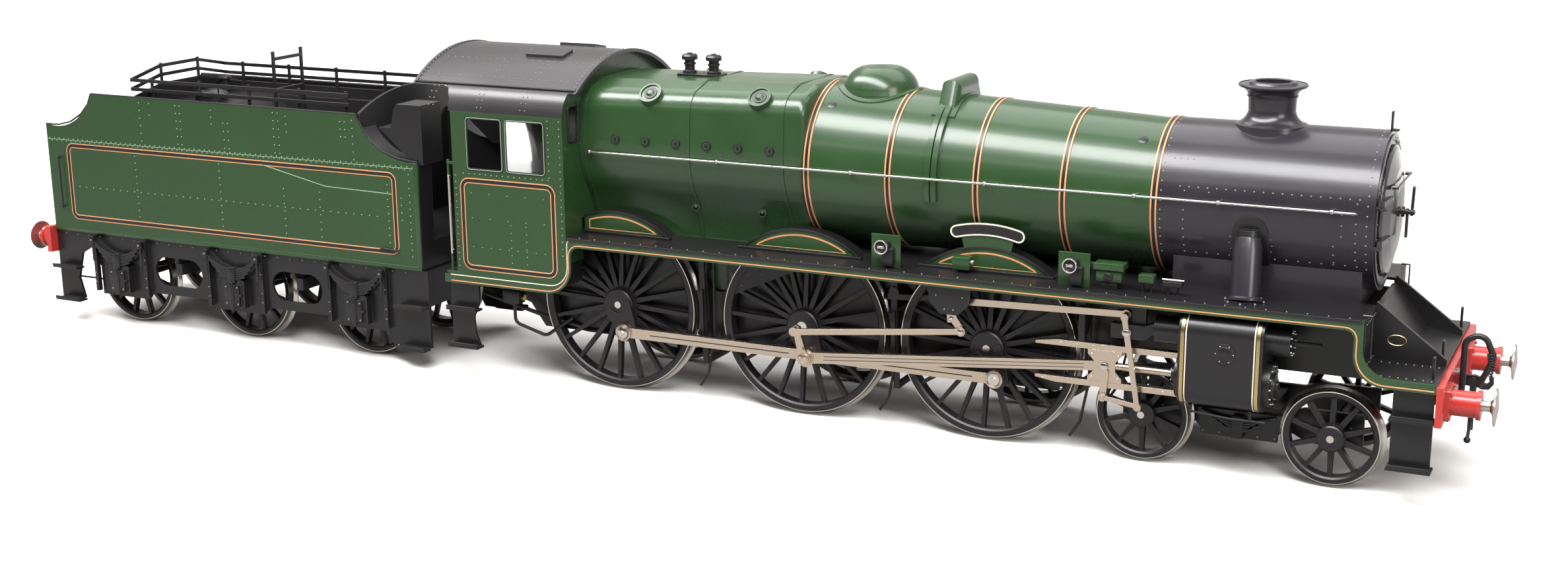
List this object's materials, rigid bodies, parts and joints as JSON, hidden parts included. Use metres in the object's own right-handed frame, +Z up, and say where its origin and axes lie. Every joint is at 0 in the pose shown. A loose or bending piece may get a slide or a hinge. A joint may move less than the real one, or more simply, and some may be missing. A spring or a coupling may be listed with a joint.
{
  "type": "live steam locomotive with tender",
  "caption": "Scale live steam 4-6-0 express locomotive with a tender, working outside valve gear, opening smokebox door, sprung buffers and a pivoted leading bogie.",
  "frame": {"origin": "middle of the length over the buffers, on the centre line, on the plane that the wheel flanges stand on", "axes": "+X forward to the chimney, +Y to the left side of the engine, +Z up"},
  "size_m": [0.6048, 0.083, 0.1271],
  "materials": {
    "green_paint": "satin",
    "black_paint": "satin",
    "smokebox_paint": "matt heat-resisting",
    "buffer_red": "gloss",
    "wheel_steel": "black painted centres, bright tyres",
    "motion_steel": "bright machined",
    "handrail_steel": "bright",
    "boiler_copper": "silver-soldered copper",
    "valve_brass": "turned"
  },
  "bodies": {
    "engine": {"main_frames": "black_paint", "frame_stretchers": "black_paint", "running_plate": "black_paint", "valances": "green_paint", "front_platform": "black_paint", "buffer_beam": "buffer_red", "smokebox": "smokebox_paint", "chimney_and_saddle": "smokebox_paint", "boiler_cladding": "green_paint", "firebox_cladding": "green_paint", "dome": "green_paint", "top_feed": "green_paint", "safety_valves": "black_paint", "copper_boiler": "boiler_copper", "cab": "green_paint", "cab_roof": "black_paint", "backhead": "black_paint", "splashers": "green_paint", "cylinders": "black_paint", "slide_bars": "motion_steel", "handrails": "handrail_steel", "brake_gear": "black_paint"},
    "tender": {"tender_frames": "black_paint", "tender_buffer_beam": "buffer_red", "tender_tank": "green_paint", "coal_rails": "black_paint"},
    "driving_axle": {"driving_wheels": "wheel_steel"},
    "leading_axle": {"leading_wheels": "wheel_steel"},
    "trailing_axle": {"trailing_wheels": "wheel_steel"},
    "bogie": {"bogie_frame": "black_paint"},
    "bogie_axle_front": {"bogie_wheels_front": "wheel_steel"},
    "bogie_axle_rear": {"bogie_wheels_rear": "wheel_steel"},
    "tender_axle_front": {"tender_wheels_front": "wheel_steel"},
    "tender_axle_middle": {"tender_wheels_middle": "wheel_steel"},
    "tender_axle_rear": {"tender_wheels_rear": "wheel_steel"},
    "valve_rods": {"radius_rods": "motion_steel"},
    "door": {"smokebox_door": "smokebox_paint"},
    "dart": {"door_dart": "black_paint"},
    "regulator": {"regulator_handle": "valve_brass"},
    "reverser": {"reverser_wheel": "motion_steel"},
    "coupling": {"screw_coupling": "black_paint"},
    "filler_lid": {"tender_filler_lid": "black_paint"},
    "side_rods_right": {"coupling_rods_right": "motion_steel"},
    "main_rod_right": {"connecting_rod_right": "motion_steel"},
    "piston_right": {"crosshead_right": "motion_steel"},
    "lever_right": {"combination_lever_right": "motion_steel"},
    "union_right": {"union_link_right": "motion_steel"},
    "link_right": {"expansion_link_right": "motion_steel"},
    "eccentric_right": {"eccentric_rod_right": "motion_steel"},
    "side_rods_left": {"coupling_rods_left": "motion_steel"},
    "main_rod_left": {"connecting_rod_left": "motion_steel"},
    "piston_left": {"crosshead_left": "motion_steel"},
    "lever_left": {"combination_lever_left": "motion_steel"},
    "union_left": {"union_link_left": "motion_steel"},
    "link_left": {"expansion_link_left": "motion_steel"},
    "eccentric_left": {"eccentric_rod_left": "motion_steel"},
    "buffer_front_right": {"buffer_head_front_right": "motion_steel"},
    "buffer_front_left": {"buffer_head_front_left": "motion_steel"},
    "buffer_rear_right": {"buffer_head_rear_right": "motion_steel"},
    "buffer_rear_left": {"buffer_head_rear_left": "motion_steel"}
  },
  "joints": [
    {"name": "driving_spin", "type": "hinge", "parent": "engine", "child": "driving_axle", "pos_m": [0.06588, 0, 0.03335], "axis": [0, 1, 0], "continuous": true},
    {"name": "leading_spin", "type": "hinge", "parent": "engine", "child": "leading_axle", "pos_m": [0.13573, 0, 0.03335], "axis": [0, 1, 0], "continuous": true},
    {"name": "trailing_spin", "type": "hinge", "parent": "engine", "child": "trailing_axle", "pos_m": [-0.01032, 0, 0.03335], "axis": [0, 1, 0], "continuous": true},
    {"name": "bogie_swivel", "type": "hinge", "parent": "engine", "child": "bogie", "pos_m": [0.22146, 0, 0.02025], "axis": [0, 0, 1], "range_deg": [-3.5, 3.5]},
    {"name": "bogie_front_spin", "type": "hinge", "parent": "bogie", "child": "bogie_axle_front", "pos_m": [0.25241, 0, 0.01688], "axis": [0, 1, 0], "continuous": true},
    {"name": "bogie_rear_spin", "type": "hinge", "parent": "bogie", "child": "bogie_axle_rear", "pos_m": [0.1905, 0, 0.01688], "axis": [0, 1, 0], "continuous": true},
    {"name": "tender_swivel", "type": "hinge", "parent": "engine", "child": "tender", "pos_m": [-0.08493, 0, 0.03454], "axis": [0, 0, 1], "range_deg": [-4, 4]},
    {"name": "tender_front_spin", "type": "hinge", "parent": "tender", "child": "tender_axle_front", "pos_m": [-0.12541, 0, 0.02144], "axis": [0, 1, 0], "continuous": true},
    {"name": "tender_middle_spin", "type": "hinge", "parent": "tender", "child": "tender_axle_middle", "pos_m": [-0.18732, 0, 0.02144], "axis": [0, 1, 0], "continuous": true},
    {"name": "tender_rear_spin", "type": "hinge", "parent": "tender", "child": "tender_axle_rear", "pos_m": [-0.24924, 0, 0.02144], "axis": [0, 1, 0], "continuous": true},
    {"name": "side_rods_right_swing", "type": "hinge", "parent": "driving_axle", "child": "side_rods_right", "pos_m": [0.07008, -0.02885, 0.02392], "axis": [0, 1, 0], "continuous": true},
    {"name": "piston_right_slide", "type": "slide", "parent": "engine", "child": "piston_right", "axis": [1, 0, 0], "range_m": [-0.01404, 0.0066]},
    {"name": "main_rod_right_swing", "type": "hinge", "parent": "piston_right", "child": "main_rod_right", "pos_m": [0.17953, -0.03195, 0.03422], "axis": [0, 1, 0], "range_deg": [-0.47, 10.3]},
    {"name": "lever_right_swing", "type": "hinge", "parent": "engine", "child": "lever_right", "pos_m": [0.18732, -0.03585, 0.04724], "axis": [0, 1, 0], "range_deg": [-15.24, 32.06]},
    {"name": "union_right_swing", "type": "hinge", "parent": "piston_right", "child": "union_right", "pos_m": [0.17953, -0.03485, 0.02398], "axis": [0, 1, 0], "range_deg": [-10.07, 1.8]},
    {"name": "link_right_rock", "type": "hinge", "parent": "engine", "child": "link_right", "pos_m": [0.12621, -0.0353, 0.05121], "axis": [0, 1, 0], "range_deg": [-12, 12]},
    {"name": "eccentric_right_swing", "type": "hinge", "parent": "link_right", "child": "eccentric_right", "pos_m": [0.13018, -0.0359, 0.04136], "axis": [0, 1, 0], "range_deg": [-12.1, 12.1]},
    {"name": "side_rods_left_swing", "type": "hinge", "parent": "driving_axle", "child": "side_rods_left", "pos_m": [0.07531, 0.02885, 0.03754], "axis": [0, 1, 0], "continuous": true},
    {"name": "piston_left_slide", "type": "slide", "parent": "engine", "child": "piston_left", "axis": [1, 0, 0], "range_m": [-0.0197, 0.00094]},
    {"name": "main_rod_left_swing", "type": "hinge", "parent": "piston_left", "child": "main_rod_left", "pos_m": [0.18519, 0.03195, 0.03422], "axis": [0, 1, 0], "range_deg": [-7.58, 3.2]},
    {"name": "lever_left_swing", "type": "hinge", "parent": "engine", "child": "lever_left", "pos_m": [0.18732, 0.03585, 0.04724], "axis": [0, 1, 0], "range_deg": [-2.43, 44.88]},
    {"name": "union_left_swing", "type": "hinge", "parent": "piston_left", "child": "union_left", "pos_m": [0.18519, 0.03485, 0.02398], "axis": [0, 1, 0], "range_deg": [-2.08, 9.78]},
    {"name": "link_left_rock", "type": "hinge", "parent": "engine", "child": "link_left", "pos_m": [0.12621, 0.0353, 0.05121], "axis": [0, 1, 0], "range_deg": [-12, 12]},
    {"name": "eccentric_left_swing", "type": "hinge", "parent": "link_left", "child": "eccentric_left", "pos_m": [0.13018, 0.0359, 0.04136], "axis": [0, 1, 0], "range_deg": [-12.1, 12.1]},
    {"name": "reverser_turn", "type": "hinge", "parent": "engine", "child": "reverser", "pos_m": [-0.0401, 0.0275, 0.08137], "axis": [1, 0, 0], "range_deg": [-270, 270]},
    {"name": "valve_rods_lift", "type": "hinge", "parent": "engine", "child": "valve_rods", "pos_m": [0.18653, 0, 0.05303], "axis": [0, 1, 0], "range_deg": [-4.6, 4.6]},
    {"name": "regulator_turn", "type": "hinge", "parent": "engine", "child": "regulator", "pos_m": [-0.03264, 0, 0.09724], "axis": [1, 0, 0], "range_deg": [0, 60]},
    {"name": "buffer_front_right_push", "type": "slide", "parent": "engine", "child": "buffer_front_right", "axis": [-1, 0, 0], "range_m": [0, 0.0024], "stiffness_N_per_m": 300, "springref_m": -0.001},
    {"name": "buffer_front_left_push", "type": "slide", "parent": "engine", "child": "buffer_front_left", "axis": [-1, 0, 0], "range_m": [0, 0.0024], "stiffness_N_per_m": 300, "springref_m": -0.001},
    {"name": "buffer_rear_right_push", "type": "slide", "parent": "tender", "child": "buffer_rear_right", "axis": [1, 0, 0], "range_m": [0, 0.0024], "stiffness_N_per_m": 300, "springref_m": -0.001},
    {"name": "buffer_rear_left_push", "type": "slide", "parent": "tender", "child": "buffer_rear_left", "axis": [1, 0, 0], "range_m": [0, 0.0024], "stiffness_N_per_m": 300, "springref_m": -0.001},
    {"name": "door_swing", "type": "hinge", "parent": "engine", "child": "door", "pos_m": [0.26296, -0.02349, 0.08732], "axis": [0, 0, -1], "range_deg": [0, 110]},
    {"name": "dart_turn", "type": "hinge", "parent": "door", "child": "dart", "pos_m": [0.26546, 0, 0.08732], "axis": [1, 0, 0], "range_deg": [0, 90]},
    {"name": "coupling_swing", "type": "hinge", "parent": "engine", "child": "coupling", "pos_m": [0.29174, 0, 0.03414], "axis": [0, 1, 0], "range_deg": [-60, 20]},
    {"name": "lid_lift", "type": "hinge", "parent": "tender", "child": "filler_lid", "pos_m": [-0.22915, 0, 0.09717], "axis": [0, -1, 0], "range_deg": [0, 100]}
  ],
  "couplings": [
    {"joint": "leading_spin", "follows": "driving_spin", "ratio": 1},
    {"joint": "trailing_spin", "follows": "driving_spin", "ratio": 1},
    {"joint": "side_rods_right_swing", "follows": "driving_spin", "ratio": -1},
    {"joint": "lever_right_swing", "follows": "piston_right_slide", "rad_per_m": -39.493},
    {"joint": "eccentric_right_swing", "follows": "link_right_rock", "ratio": -1},
    {"joint": "side_rods_left_swing", "follows": "driving_spin", "ratio": -1},
    {"joint": "lever_left_swing", "follows": "piston_left_slide", "rad_per_m": -39.493},
    {"joint": "eccentric_left_swing", "follows": "link_left_rock", "ratio": -1},
    {"joint": "valve_rods_lift", "follows": "reverser_turn", "ratio": 0.017}
  ]
}
